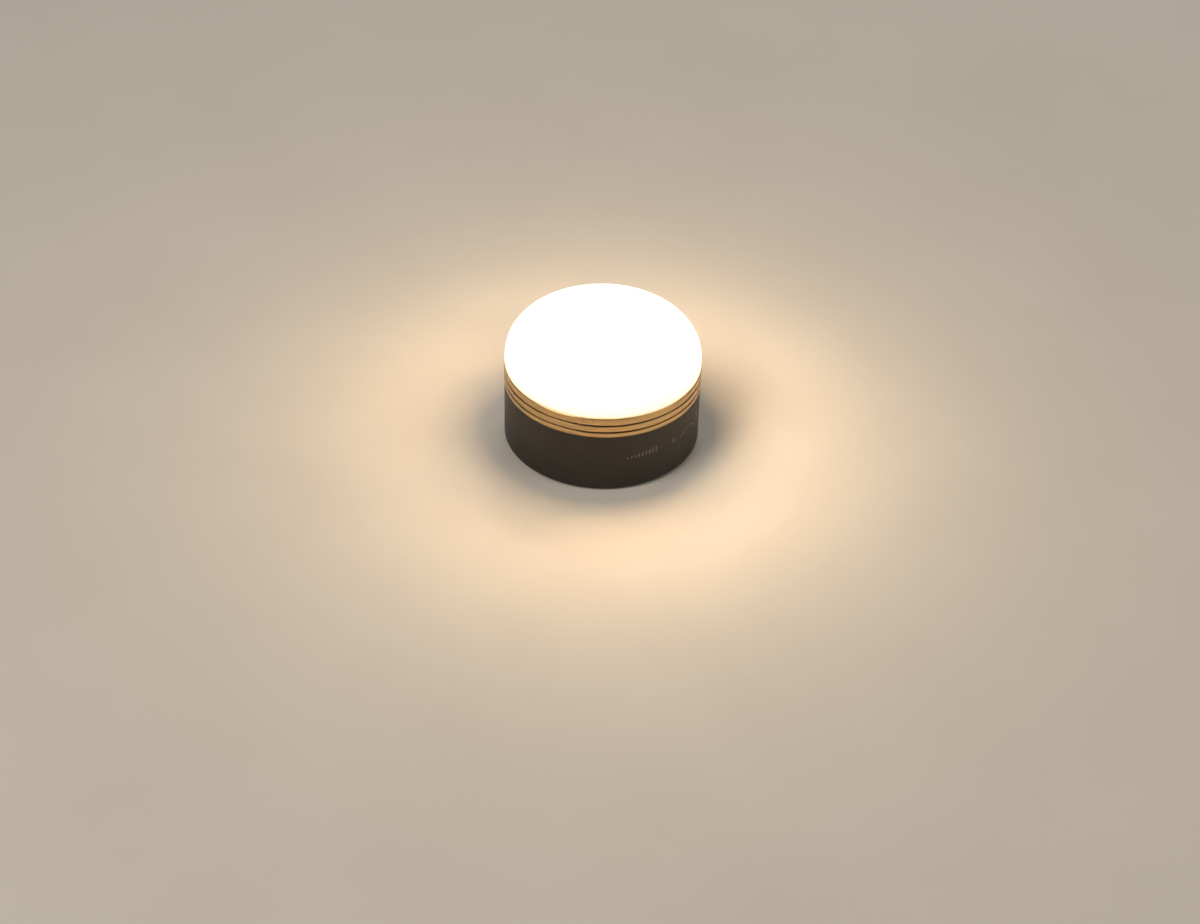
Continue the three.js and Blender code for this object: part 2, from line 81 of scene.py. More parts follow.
camera_data = bpy.data.cameras.new("camera")
camera_data.lens = 76.65
camera_data.sensor_width = 36
camera_data.clip_end = 50
camera = bpy.data.objects.new("camera", camera_data)
camera.location = (camera_aside, -camera_back, camera_height)
camera.rotation_euler = (Matrix.Rotation(math.pi / 2 - camera_pitch, 4, "X")
                         @ Matrix.Rotation(camera_roll, 4, "Z")).to_euler()
bpy.context.scene.collection.objects.link(camera)
bpy.context.scene.camera = camera
bpy.context.scene.view_settings.view_transform = "Standard"


def linear(code):
    """A colour given as an sRGB hex code, as linear red, green, blue and alpha."""
    srgb = [int(code[i:i + 2], 16) / 255 for i in (1, 3, 5)]
    return (*(c / 12.92 if c <= 0.04045 else ((c + 0.055) / 1.055) ** 2.4 for c in srgb), 1.0)


def add(tree, kind, inputs=None, **settings):
    """Adds a shader node. Each input takes a value, a hex colour or another node's output."""
    made = tree.nodes.new(kind)
    for key, value in settings.items():
        setattr(made, key, value)
    for key, value in (inputs or {}).items():
        if isinstance(value, bpy.types.NodeSocket):
            tree.links.new(value, made.inputs[key])
        else:
            made.inputs[key].default_value = linear(value) if isinstance(value, str) else value
    return made


def new_material(name, **shader_values):
    """An empty finish: its node tree, its shader with plain values set, and its coordinates."""
    material = bpy.data.materials.new(name)
    material.use_nodes = True
    tree = material.node_tree
    shader = tree.nodes["Principled BSDF"]
    for key, value in shader_values.items():
        shader.inputs[key.replace("_", " ")].default_value = value
    where = add(tree, "ShaderNodeTexCoord").outputs["Object"]
    return material, tree, shader, where


def feed(shader, **sources):
    """Links outputs to the shader's inputs, whose names are written with _ for a space."""
    for key, source in sources.items():
        shader.id_data.links.new(source, shader.inputs[key.replace("_", " ")])


def wear(material, *pieces):
    """Gives the pieces this material in place of any that they had."""
    for piece in pieces:
        if piece.material_slots:
            for place in piece.material_slots:
                place.material = material
        else:
            piece.data.materials.append(material)


def grid_faces(rows, columns, wrap_rows, wrap_columns, first):
    """Quads over a grid of vertices numbered row by row from first.

    A wrap joins the last row or column back to the first one.
    """
    row = np.arange(rows if wrap_rows else rows - 1)[:, None]
    column = np.arange(columns if wrap_columns else columns - 1)[None, :]
    next_row, next_column = (row + 1) % rows, (column + 1) % columns
    corners = [row * columns + column, next_row * columns + column,
               next_row * columns + next_column, row * columns + next_column]
    return first + np.stack(np.broadcast_arrays(*corners), -1).reshape(-1, 4)


def build(name, *grids):
    """One mesh object from grids of points, each (points, wrap_rows, wrap_columns, capped).

    Points is [rows, columns, 3]. A capped grid has each end column closed by a fan to its middle.
    """
    vertices, faces, count = [], [], 0
    for points, wrap_rows, wrap_columns, capped in grids:
        rows, columns = points.shape[:2]
        vertices.append(points.reshape(-1, 3))
        faces += grid_faces(rows, columns, wrap_rows, wrap_columns, count).tolist()
        if capped:
            ring = count + np.arange(rows) * columns
            following = np.roll(ring, -1)
            centre = count + rows * columns
            vertices.append(points[:, [0, -1]].mean(0))
            start = np.stack([np.full(rows, centre), following, ring], -1)
            end = np.stack([np.full(rows, centre + 1), ring + columns - 1,
                            following + columns - 1], -1)
            faces += start.tolist() + end.tolist()
        count += sum(len(v) for v in vertices[-2 if capped else -1:])
    mesh = bpy.data.meshes.new(name)
    mesh.from_pydata(np.concatenate(vertices), [], faces)
    mesh.update()
    piece = bpy.data.objects.new(name, mesh)
    bpy.context.scene.collection.objects.link(piece)
    return piece


def smooth(piece, degrees=35):
    """Shades a piece smooth, apart from edges that turn by more than this angle."""
    piece.data.polygons.foreach_set("use_smooth", np.ones(len(piece.data.polygons), bool))
    piece.data.set_sharp_from_angle(angle=math.radians(degrees))
    return piece


floor_reach = 6.0
floor_steps = np.linspace(-floor_reach, floor_reach, 5)
floor_plan = np.stack(np.meshgrid(floor_steps, floor_steps, [0.0], indexing="ij"), -1)
floor = build("studio_floor", (floor_plan[:, :, 0], False, False, False))

# Matt wall paint on board: pale, faintly mottled, with no sheen
floor_paint, tree, shader, where = new_material("matt_painted_floor", Roughness=0.85)
mottle = add(tree, "ShaderNodeTexNoise", {"Vector": where, "Scale": 1 / (111 * mm), "Detail": 5.0})
floor_tone = add(tree, "ShaderNodeMix", {0: mottle.outputs["Fac"], 6: "#d3cec6", 7: "#ddd9d2"},
                 data_type="RGBA")
feed(shader, Base_Color=floor_tone.outputs[2])
wear(floor_paint, floor)


def softbox(name, place, size, watts, colour):
    """A square area light that faces the lamp."""
    data = bpy.data.lights.new(name, "AREA")
    data.size = size
    data.energy = watts
    data.color = linear(colour)[:3]
    light = bpy.data.objects.new(name, data)
    light.location = place
    toward = -light.location.normalized()
    light.rotation_euler = toward.to_track_quat("-Z", "Y").to_euler()
    bpy.context.scene.collection.objects.link(light)


softbox("key_softbox", (-1.3, -1.0, 1.7), 1.2, 25, "#fff6ea")
softbox("fill_softbox", (1.6, -0.6, 1.1), 1.3, 9, "#fff3e2")
softbox("rear_softbox", (0.3, 1.7, 1.3), 1.2, 10, "#fff8f0")

room = bpy.data.worlds.new("room")
room.use_nodes = True
room_light = room.node_tree.nodes["Background"].inputs
room_light["Color"].default_value = linear("#cfcac2")
room_light["Strength"].default_value = 0.19
bpy.context.scene.world = room


# ---------------------------------------------------------------- foot ring
# A ring of black silicone rubber, moulded, pressed into a groove of the base plate.
# Three fine grooves run round its underside for grip.

_, foot_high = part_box("foot_ring")
foot_outer = foot_high.x
foot_width = 4 * mm
foot_inner = foot_outer - foot_width
round_steps = 240


def arc_corners(corners, radii, steps=6):
    """A closed outline with its corners rounded.

    Each corner becomes an arc that touches both of its sides: the arc starts and ends
    radius / tan(half angle) from the corner, and is swept evenly about its centre.
    """
    corners = np.asarray(corners, float)
    radii = np.broadcast_to(np.asarray(radii, float), len(corners))[:, None]
    back = np.roll(corners, 1, 0) - corners
    ahead = np.roll(corners, -1, 0) - corners
    back /= np.linalg.norm(back, axis=1, keepdims=True)
    ahead /= np.linalg.norm(ahead, axis=1, keepdims=True)
    half = 0.5 * np.arccos(np.clip((back * ahead).sum(1, keepdims=True), -1, 1))
    middle = back + ahead
    middle /= np.linalg.norm(middle, axis=1, keepdims=True)
    centre = corners + middle * radii / np.sin(half)
    from_start = corners + back * radii / np.tan(half) - centre
    from_end = corners + ahead * radii / np.tan(half) - centre
    sweep = math.pi - 2 * half[:, None, :]
    share = np.linspace(0, 1, steps)[None, :, None]
    arc = (np.sin((1 - share) * sweep) * from_start[:, None] + np.sin(share * sweep)
           * from_end[:, None]) / np.sin(sweep)
    return (centre[:, None] + arc).reshape(-1, 2)


def turned(profile, steps=round_steps, stretch=0.0):
    """Points of a profile turned about the Z axis: radius along its angle, height as given.

    A stretch pulls the two halves of every circle apart along X, which leaves straight sides.
    """
    profile = np.asarray(profile, float)
    angle = (np.arange(steps) + 0.5) * 2 * math.pi / steps
    side = np.sign(np.cos(angle))[:, None] * stretch
    x = np.cos(angle)[:, None] * profile[None, :, 0] + side
    y = np.sin(angle)[:, None] * profile[None, :, 0]
    z = np.broadcast_to(profile[None, :, 1], x.shape)
    return np.stack([x, y, z], -1)


def turned_ring(corners, radii, steps=round_steps, arc_steps=6):
    """A closed, rounded profile turned into a ring, ready for build()."""
    return turned(arc_corners(corners, radii, arc_steps), steps), True, True, False


grip_count = 3
grip_depth = 0.3 * mm
grip_half = 0.3 * mm
grip_edge = 0.08 * mm
foot_edge = 0.5 * mm
foot_top_edge = 0.1 * mm
foot_corners = [(foot_inner, 0)]
for i in range(grip_count):
    middle = foot_inner + (i + 1) * foot_width / (grip_count + 1)
    foot_corners += [(middle - grip_half, 0), (middle - grip_half / 2, grip_depth),
                     (middle + grip_half / 2, grip_depth), (middle + grip_half, 0)]
foot_corners += [(foot_outer, 0), (foot_outer, foot_high.z), (foot_inner, foot_high.z)]
foot_radii = [foot_edge] + [grip_edge] * (4 * grip_count) + [foot_edge] + [foot_top_edge] * 2
foot = smooth(build("rubber_foot", turned_ring(foot_corners, foot_radii, arc_steps=4)))

# Silicone rubber, moulded: black with a dusty, dull sheen and no gloss
silicone, tree, shader, where = new_material("moulded_silicone", Roughness=0.72, IOR=1.41)
dust = add(tree, "ShaderNodeTexNoise", {"Vector": where, "Scale": 1 / (3.85 * mm), "Detail": 6.0,
                                        "Roughness": 0.7})
dust_tone = add(tree, "ShaderNodeMix", {0: dust.outputs["Fac"], 6: "#141413", 7: "#272625"},
                data_type="RGBA")
rubber_grain = add(tree, "ShaderNodeBump", {"Height": dust.outputs["Fac"], "Strength": 0.25,
                                            "Distance": 0.08 * mm})
feed(shader, Base_Color=dust_tone.outputs[2], Normal=rubber_grain.outputs["Normal"])
wear(silicone, foot, nodes["base_gasket"])
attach(foot, "base")
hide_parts("foot_ring")


# ---------------------------------------------------------------- base plate
# A disc of injection-moulded ABS that closes the base from below. Its middle is a
# shallow dish inside a raised ring, and four recesses take the screw heads.

plate_low, plate_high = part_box("base_plate")
plate_radius = plate_high.x
pocket_play = 0.3 * mm
dish_radius = 30 * mm
ridge_width = 1.6 * mm
dish_depth = 0.5 * mm
ridge_depth = 0.9 * mm
base_screws = [f"base_screw_{i}" for i in (1, 2, 3, 4)]
small_steps = 40
overshoot = 1 * mm  # how far a cutter reaches past what it cuts


def middle_of(node):
    """The middle of a CAD node's box."""
    low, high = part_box(node)
    return (low + high) / 2


def moved(points, x=0.0, y=0.0, z=0.0):
    """The same points, shifted."""
    return points + np.array([x, y, z])


def solid(points):
    """A grid that closes round its rows and is capped at both ends, ready for build()."""
    return points, True, False, True


def standing(spot, profile, steps=small_steps):
    """A profile turned into a solid that stands upright at a spot, ready for build()."""
    return solid(moved(turned(profile, steps), spot.x, spot.y))


def carve(piece, joined=None, cut=None):
    """Joins a solid onto a piece, then cuts one out of it, and keeps only the result."""
    for operation, other in (("UNION", joined), ("DIFFERENCE", cut)):
        if other is None:
            continue
        modifier = piece.modifiers.new(operation, "BOOLEAN")
        modifier.operation = operation
        modifier.solver = "EXACT"
        modifier.object = other
        evaluated = piece.evaluated_get(bpy.context.evaluated_depsgraph_get())
        result = bpy.data.meshes.new_from_object(evaluated)
        result.name = piece.data.name
        piece.modifiers.clear()
        piece.data = result
        bpy.data.objects.remove(other)
    return piece


foot_groove_top = foot_high.z + pocket_play
ridge_outer = dish_radius + ridge_width
plate_profile = arc_corners([
    (dish_radius / 2, plate_low.z + dish_depth), (dish_radius - 0.4 * mm, plate_low.z + dish_depth),
    (dish_radius, plate_low.z), (ridge_outer, plate_low.z),
    (ridge_outer + 0.3 * mm, plate_low.z + ridge_depth - dish_depth),
    (foot_inner - pocket_play, plate_low.z + ridge_depth - dish_depth),
    (foot_inner - pocket_play, foot_groove_top), (foot_outer + pocket_play, foot_groove_top),
    (foot_outer + pocket_play, plate_low.z), (plate_radius, plate_low.z),
    (plate_radius, plate_high.z), (dish_radius / 2, plate_high.z),
], 0.12 * mm, 4)[2:-2]
head_recess = 2.4 * mm
head_recess_top = plate_low.z + 1.6 * mm
shank_hole = 1.4 * mm
screw_spots = [middle_of(name) for name in base_screws]
recess_profile = [(head_recess + 0.3 * mm, plate_low.z - overshoot),
                  (head_recess + 0.3 * mm, plate_low.z + 0.4 * mm),
                  (head_recess, plate_low.z + 0.7 * mm), (head_recess, head_recess_top),
                  (shank_hole, head_recess_top), (shank_hole, plate_high.z + overshoot)]
plate = build("base_cover", solid(turned(plate_profile)))
recesses = build("recesses", *[standing(spot, recess_profile) for spot in screw_spots])
smooth(carve(plate, cut=recesses))

# ABS, injection moulded in a spark-eroded tool: charcoal, with a fine pebble grain that
# scatters light. The real grain is about 0.1 mm, and is drawn at 0.5 mm so that it shows.
charcoal_abs, tree, shader, where = new_material("spark_grained_abs", Roughness=0.5, IOR=1.53)
pebble = add(tree, "ShaderNodeTexVoronoi", {"Vector": where, "Scale": 1 / (0.5 * mm)})
pores = add(tree, "ShaderNodeTexNoise", {"Vector": where, "Scale": 1 / (1.1 * mm), "Detail": 4.0})
drift = add(tree, "ShaderNodeTexNoise", {"Vector": where, "Scale": 1 / (35.7 * mm), "Detail": 3.0})
abs_tone = add(tree, "ShaderNodeMix", {0: drift.outputs["Fac"], 6: "#1b160e", 7: "#261f15"},
               data_type="RGBA")
gloss = add(tree, "ShaderNodeMapRange", {"Value": pores.outputs["Fac"], "To Min": 0.42,
                                         "To Max": 0.62})
grain_height = add(tree, "ShaderNodeMath", {0: pebble.outputs["Distance"],
                                            1: pores.outputs["Fac"]}, operation="ADD")
grain = add(tree, "ShaderNodeBump", {"Height": grain_height.outputs["Value"], "Strength": 0.5,
                                     "Distance": 0.1 * mm})
feed(shader, Base_Color=abs_tone.outputs[2], Roughness=gloss.outputs["Result"],
     Normal=grain.outputs["Normal"])
wear(charcoal_abs, plate, nodes["battery_tray"])
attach(plate, "base")
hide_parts("base_plate")


# ---------------------------------------------------------------- screws
# Pan-head machine screws with a cross recess, cold-headed steel, zinc plated. The four
# under the plate show; the others stay inside the lamp.

head_radius = 2.1 * mm
head_height = 1.3 * mm
shank_radius = 1.1 * mm
cross_half_width = 0.3 * mm
cross_reach = 1.25 * mm
cross_depth = 0.8 * mm
head_crown = 0.35 * mm
thread_depth = 0.18 * mm

screw_low, screw_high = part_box(base_screws[0])
under_head = screw_low.z + head_height
pan = [(t, screw_low.z + head_crown * (t / head_radius) ** 3)
       for t in np.linspace(0.2 * mm, head_radius - 0.15 * mm, 12)]
screw_profile = pan + [(head_radius, screw_low.z + 0.5 * mm), (head_radius, under_head - 0.1 * mm),
                       (head_radius - 0.1 * mm, under_head), (shank_radius, under_head)]
thread_pitch = 0.5 * mm
thread_top = np.arange(under_head + 0.6 * mm, screw_high.z - 0.8 * mm, thread_pitch / 2)
screw_profile += [(shank_radius - (thread_depth if i % 2 else 0.0), z)
                  for i, z in enumerate(thread_top)]
screw_profile += [(shank_radius * 0.6, screw_high.z)]


def bar(half_x, half_y, low, high, taper=1.0):
    """A square-ended bar along Z as a turned grid of four sides, narrower at its top by taper."""
    reach = half_y * math.sqrt(2)
    profile = [(reach, low), (reach * taper, high)]
    return solid(turned(profile, 4, half_x - half_y))


def quarter_turned(points):
    """Points turned by 90 degrees about Z."""
    return points[..., [1, 0, 2]] * np.array([-1, 1, 1])


# The cross is two bars, and the second goes a little deeper so that their ends never coincide
for name, spot in zip(base_screws, screw_spots):
    blade = bar(cross_reach, cross_half_width, screw_low.z - 0.5 * mm,
                screw_low.z + cross_depth, 0.6)
    other_blade = solid(quarter_turned(blade[0]) * np.array([1, 1, 1.02]))
    head_and_shank = build(f"cover_screw_{name[-1]}", solid(turned(screw_profile, small_steps)))
    carve(head_and_shank, cut=build("blade", blade))
    carve(head_and_shank, cut=build("other_blade", other_blade))
    head_and_shank.data.transform(Matrix.Translation((spot.x, spot.y, 0)))
    smooth(head_and_shank)
    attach(head_and_shank, "base")
    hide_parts(name)

# Zinc plating on cold-headed steel: a slightly yellow, cloudy metal
zinc, tree, shader, where = new_material("zinc_plated_steel", Metallic=1.0, Roughness=0.34)
cloud = add(tree, "ShaderNodeTexNoise", {"Vector": where, "Scale": 1 / (1.43 * mm), "Detail": 5.0})
zinc_tone = add(tree, "ShaderNodeMix", {0: cloud.outputs["Fac"], 6: "#8f8d88", 7: "#b9b7b0"},
                data_type="RGBA")
zinc_gloss = add(tree, "ShaderNodeMapRange", {"Value": cloud.outputs["Fac"], "To Min": 0.25,
                                              "To Max": 0.45})
feed(shader, Base_Color=zinc_tone.outputs[2], Roughness=zinc_gloss.outputs["Result"])
wear(zinc, *[bpy.data.objects[f"cover_screw_{i}"] for i in (1, 2, 3, 4)],
     *[nodes[f"{place}_screw_{i}"] for place in ("board", "frame", "sink") for i in (1, 2, 3)])


# ---------------------------------------------------------------- cell and wires
# A lithium pouch cell in a plastic tray, with its protection board on top. The pouch is
# a foil laminate with a slight crinkle, and the wires are stranded copper in PVC.

pouch_foil, tree, shader, where = new_material("laminate_foil", Metallic=0.9, Roughness=0.38)
crinkle = add(tree, "ShaderNodeTexNoise", {"Vector": where, "Scale": 1 / (8.33 * mm), "Detail": 4.0,
                                           "Distortion": 0.8})
foil_tone = add(tree, "ShaderNodeMix", {0: crinkle.outputs["Fac"], 6: "#a9acb0", 7: "#cfd1d4"},
                data_type="RGBA")
foil_relief = add(tree, "ShaderNodeBump", {"Height": crinkle.outputs["Fac"], "Strength": 0.5,
                                           "Distance": 0.3 * mm})
feed(shader, Base_Color=foil_tone.outputs[2], Normal=foil_relief.outputs["Normal"])
wear(pouch_foil, nodes["battery_pack"])

for colour_name, dark, light, number in (("black", "#121212", "#1f1f1f", 1),
                                         ("red", "#7d1313", "#a01c1a", 2)):
    pvc, tree, shader, where = new_material(f"{colour_name}_pvc", Roughness=0.42)
    smear = add(tree, "ShaderNodeTexNoise", {"Vector": where, "Scale": 1 / (3.33 * mm)})
    pvc_tone = add(tree, "ShaderNodeMix", {0: smear.outputs["Fac"], 6: dark, 7: light},
                   data_type="RGBA")
    feed(shader, Base_Color=pvc_tone.outputs[2])
    wear(pvc, nodes[f"battery_lead_{number}"], nodes[f"led_lead_{number}"])


# ---------------------------------------------------------------- circuit boards
# Glass fibre laminate under green solder mask, with the tracks showing as paler lines.
# What stands on it is black epoxy, a nickel-plated can, bare aluminium and turned brass.

fr4, tree, shader, where = new_material("green_solder_mask", Roughness=0.32, IOR=1.55)
tracks = add(tree, "ShaderNodeTexBrick", {
    "Vector": where, "Scale": 1 / (8.33 * mm), "Mortar Size": 0.035, "Color1": "#14402a",
    "Color2": "#174830", "Mortar": "#2a6b45"}, offset=0.35)
track_relief = add(tree, "ShaderNodeBump", {"Height": tracks.outputs["Fac"], "Strength": 0.4,
                                            "Distance": 0.04 * mm})
feed(shader, Base_Color=tracks.outputs["Color"], Normal=track_relief.outputs["Normal"])
wear(fr4, nodes["main_board"], nodes["battery_board"])

# Epoxy moulding compound: near black and dull, with fine paler specks of filler
epoxy, tree, shader, where = new_material("moulded_epoxy", Roughness=0.5)
speck = add(tree, "ShaderNodeTexNoise", {"Vector": where, "Scale": 1 / (0.455 * mm), "Detail": 3.0})
epoxy_tone = add(tree, "ShaderNodeMix", {0: speck.outputs["Fac"], 6: "#101010", 7: "#232323"},
                 data_type="RGBA")
feed(shader, Base_Color=epoxy_tone.outputs[2])
wear(epoxy, *[nodes[name] for name in ("control_chip", "power_inductor", "button_switch",
                                       "ring_sensor")])

# Aluminium, cast or drawn and left bare: pale grey with a slightly uneven skin
bare_aluminium, tree, shader, where = new_material("cast_aluminium", Metallic=1.0, Roughness=0.4)
skin = add(tree, "ShaderNodeTexNoise", {"Vector": where, "Scale": 1 / (2 * mm), "Detail": 6.0})
cast_tone = add(tree, "ShaderNodeMix", {0: skin.outputs["Fac"], 6: "#b4b6b8", 7: "#d3d5d6"},
                data_type="RGBA")
cast_relief = add(tree, "ShaderNodeBump", {"Height": skin.outputs["Fac"], "Strength": 0.3,
                                           "Distance": 0.05 * mm})
feed(shader, Base_Color=cast_tone.outputs[2], Normal=cast_relief.outputs["Normal"])
wear(bare_aluminium, nodes["heat_sink"], nodes["capacitor_1"], nodes["capacitor_2"])

# Brass, turned and left bare: warm yellow, with a patchy tarnish
turned_brass, tree, shader, where = new_material("turned_brass", Metallic=1.0, Roughness=0.28)
tarnish = add(tree, "ShaderNodeTexNoise", {"Vector": where, "Scale": 1 / (1.67 * mm), "Detail": 4.0})
brass_tone = add(tree, "ShaderNodeMix", {0: tarnish.outputs["Fac"], 6: "#a9873f", 7: "#cfae62"},
                 data_type="RGBA")
feed(shader, Base_Color=brass_tone.outputs[2])
wear(turned_brass, *[nodes[f"standoff_{i}"] for i in (1, 2, 3)])


# ---------------------------------------------------------------- charging port
# A drawn steel sleeve, nickel plated, with a rolled mouth. A thin black tongue stands
# in the middle of it with a row of gold-plated contacts on each face.

port_low, port_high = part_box("charging_port")
port_middle = (port_low + port_high) / 2
sleeve_radius = (port_high.z - port_low.z) / 2
sleeve_stretch = (port_high.x - port_low.x) / 2 - sleeve_radius
mouth_radius = 1.25 * mm
sleeve_floor = port_low.y + 1 * mm


def laid(points, degrees, height):
    """Points drawn facing outwards put in place: X to the right seen from outside, Y up,
    and Z the distance from the lamp's axis, at an angle round the lamp and a height."""
    angle = math.radians(degrees)
    right = np.array([-math.sin(angle), math.cos(angle), 0.0])
    outward = np.array([math.cos(angle), math.sin(angle), 0.0])
    up = np.array([0.0, 0.0, 1.0])
    return (points[..., :1] * right + points[..., 1:2] * up + points[..., 2:] * outward
            + np.array([0.0, 0.0, height]))


port_angle = 90
port_height = port_middle.z
lip = 0.18 * mm
sleeve_profile = [
    (0.2 * mm, port_low.y), (sleeve_radius - lip, port_low.y), (sleeve_radius, port_low.y + lip),
    (sleeve_radius, port_high.y - lip), (sleeve_radius - 0.3 * lip, port_high.y - 0.3 * lip),
    (sleeve_radius - lip, port_high.y), (mouth_radius + 0.3 * lip, port_high.y - 0.3 * lip),
    (mouth_radius, port_high.y - lip), (mouth_radius, sleeve_floor), (0.2 * mm, sleeve_floor),
]
sleeve = build("port_sleeve", solid(laid(turned(sleeve_profile, 64, sleeve_stretch), port_angle,
                                         port_height)))
smooth(sleeve)

tongue_low, tongue_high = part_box("port_tongue")
contact_count = 12
contact_pitch = 0.5 * mm
contact_half = 0.13 * mm
contact_rise = 0.02 * mm
tongue_half = (tongue_high.z - tongue_low.z) / 2
contacts = []
for i in range(contact_count):
    across = (i - (contact_count - 1) / 2) * contact_pitch
    # One bar goes through the tongue and stands just proud of both faces. It is made on its
    # side and turned upright.
    on_side = bar(tongue_half + contact_rise, contact_half, tongue_low.y + 0.8 * mm,
                  tongue_high.y - 0.3 * mm)[0]
    contacts.append(solid(laid(moved(quarter_turned(on_side), across), port_angle, port_height)))
tongue_blade = bar(tongue_high.x, tongue_half, tongue_low.y, tongue_high.y - 0.2 * mm)
tongue_nose = bar(tongue_high.x - 0.2 * mm, tongue_half - 0.05 * mm, tongue_high.y - 0.25 * mm,
                  tongue_high.y, 0.7)
blade = build("port_blade", *[solid(laid(grid[0], port_angle, port_height))
                              for grid in (tongue_blade, tongue_nose)])
fingers = build("port_contacts", *contacts)

# Nickel plate over drawn steel: bright, faintly yellow, with draw lines along its length
nickel, tree, shader, where = new_material("nickel_plate", Metallic=1.0, Roughness=0.22)
along = add(tree, "ShaderNodeMapping", {"Vector": where, "Scale": (2.6 / mm, 0.09 / mm, 2.6 / mm)})
draw_lines = add(tree, "ShaderNodeTexNoise", {"Vector": along.outputs["Vector"], "Scale": 1.0})
nickel_tone = add(tree, "ShaderNodeMix", {0: draw_lines.outputs["Fac"], 6: "#bdbab3", 7: "#dcdad4"},
                  data_type="RGBA")
feed(shader, Base_Color=nickel_tone.outputs[2])
wear(nickel, sleeve, nodes["radio_module"], *[nodes[f"ring_magnet_{i}"] for i in (1, 2, 3, 4)])

# Thin gold plating over nickel: its depth of colour varies a little
gold, tree, shader, where = new_material("gold_plated_contact", Metallic=1.0, Roughness=0.25)
wipe = add(tree, "ShaderNodeTexNoise", {"Vector": where, "Scale": 1 / (0.4 * mm)})
gold_tone = add(tree, "ShaderNodeMix", {0: wipe.outputs["Fac"], 6: "#c29a3c", 7: "#e0bf68"},
                data_type="RGBA")
feed(shader, Base_Color=gold_tone.outputs[2])
wear(gold, fingers)
wear(epoxy, blade)
for piece, node, finish in ((sleeve, "charging_port", "nickel"),
                            (blade, "port_tongue", "chip_plastic"),
                            (fingers, "port_tongue", "nickel")):
    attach(piece, "base")
    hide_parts(node)


# ---------------------------------------------------------------- power button
# A round ABS cap with a soft crown, moulded with the usual on and off sign sunk in its
# face. Its flange keeps it behind the shell, and it slides in along its own axis.

button_low, button_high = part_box("power_button")
button_angle = 70
button_height = (button_low.z + button_high.z) / 2
cap_radius = 3.3 * mm
cap_flange = (button_high.z - button_low.z) / 2
cap_end = 54.3 * mm
flange_face = 51.02 * mm
flange_back = flange_face - 1.1 * mm
nub_tip = flange_back - 0.9 * mm
crown_rise = 0.22 * mm
rim_round = 0.45 * mm
sign_radius = 1.45 * mm
sign_line = 0.17 * mm
sign_depth = 0.25 * mm
sign_gap = math.radians(38)
sign_wall = 0.08 * mm
bar_middle = 1.05 * mm
bar_half = 0.8 * mm

cap_side = [(1.2 * mm, nub_tip), (1.2 * mm, flange_back), (cap_flange, flange_back),
            (cap_flange, flange_face), (cap_radius, flange_face),
            (cap_radius, cap_end - crown_rise - rim_round)]
rim_turn = np.linspace(0, math.pi / 2, 6)[1:]
cap_rim = [(cap_radius - rim_round * (1 - math.cos(a)),
            cap_end - crown_rise - rim_round * (1 - math.sin(a))) for a in rim_turn]
face_radius = np.linspace(cap_radius - 0.5 * mm, 0.03 * mm, 56)
cap_face = [(r, cap_end - crown_rise * (r / cap_radius) ** 2) for r in face_radius]
cap_points = turned(cap_side + cap_rim + cap_face, 144)

# The sign: an open ring and a bar that stands in its gap, sunk with soft walls
x, y = cap_points[..., 0], cap_points[..., 1]
reach = np.hypot(x, y)
from_top = np.abs(np.arctan2(x, y))
off_ring = np.where(from_top > sign_gap, np.abs(reach - sign_radius), 1.0)
off_bar = np.maximum(np.abs(x), np.abs(y - bar_middle) - bar_half)
sunk = np.clip((sign_line - np.minimum(off_ring, off_bar)) / sign_wall + 0.5, 0, 1)
on_face = np.arange(cap_points.shape[1]) >= len(cap_side) + len(cap_rim)
cap_points[..., 2] -= sign_depth * sunk * on_face
cap = smooth(build("button_cap", solid(laid(cap_points, button_angle, button_height))), 50)
wear(charcoal_abs, cap)
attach(cap, "button")
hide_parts("power_button")


# ---------------------------------------------------------------- status light
# A clear acrylic rod, pressed into the shell and frosted at its domed end. An LED on
# the board behind it lights it pale green.

pipe_angle = 110
pipe_radius = 1.2 * mm
pipe_end = 53.6 * mm
pipe_length = 7 * mm
pipe_crown = 0.15 * mm
pipe_profile = [(pipe_radius * 0.9, pipe_end - pipe_length),
                (pipe_radius, pipe_end - pipe_length + 0.1 * mm),
                (pipe_radius, pipe_end - pipe_crown)]
pipe_profile += [(pipe_radius * math.cos(a), pipe_end - pipe_crown * (1 - math.sin(a)))
                 for a in np.linspace(0, math.pi / 2, 8)[1:-1]]
pipe = smooth(build("status_lens", solid(laid(turned(pipe_profile, small_steps), pipe_angle,
                                              port_height))), 50)

# Acrylic with a frosted end: milky white, and glowing pale green
frosted_acrylic, tree, shader, where = new_material(
    "frosted_acrylic", Roughness=0.35, IOR=1.49, Emission_Strength=0.5)
frost = add(tree, "ShaderNodeTexNoise", {"Vector": where, "Scale": 1 / (0.556 * mm), "Detail": 3.0})
lens_tone = add(tree, "ShaderNodeMix", {0: frost.outputs["Fac"], 6: "#cfe8cf", 7: "#eaf7e6"},
                data_type="RGBA")
lens_light = add(tree, "ShaderNodeMix", {0: frost.outputs["Fac"], 6: "#3fae58", 7: "#6fca74"},
                 data_type="RGBA")
feed(shader, Base_Color=lens_tone.outputs[2], Emission_Color=lens_light.outputs[2])
wear(frosted_acrylic, pipe)
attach(pipe, "base")
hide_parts("light_pipe")


# ---------------------------------------------------------------- base shell
# An injection-moulded ABS drum, open at both ends, with a ledge for the gasket and
# screw bosses on ribs inside. The port, the button and the status light have holes
# with chamfered mouths at the back.

shell_low, shell_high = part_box("body_shell")
shell_radius = shell_high.x
shell_wall = 2.4 * mm
shell_inner = shell_radius - shell_wall
_, gasket_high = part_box("base_gasket")
ledge_low = gasket_high.z + 0.1 * mm
ledge_high = ledge_low + 1.5 * mm
ledge_inner = gasket_high.x - 2.3 * mm

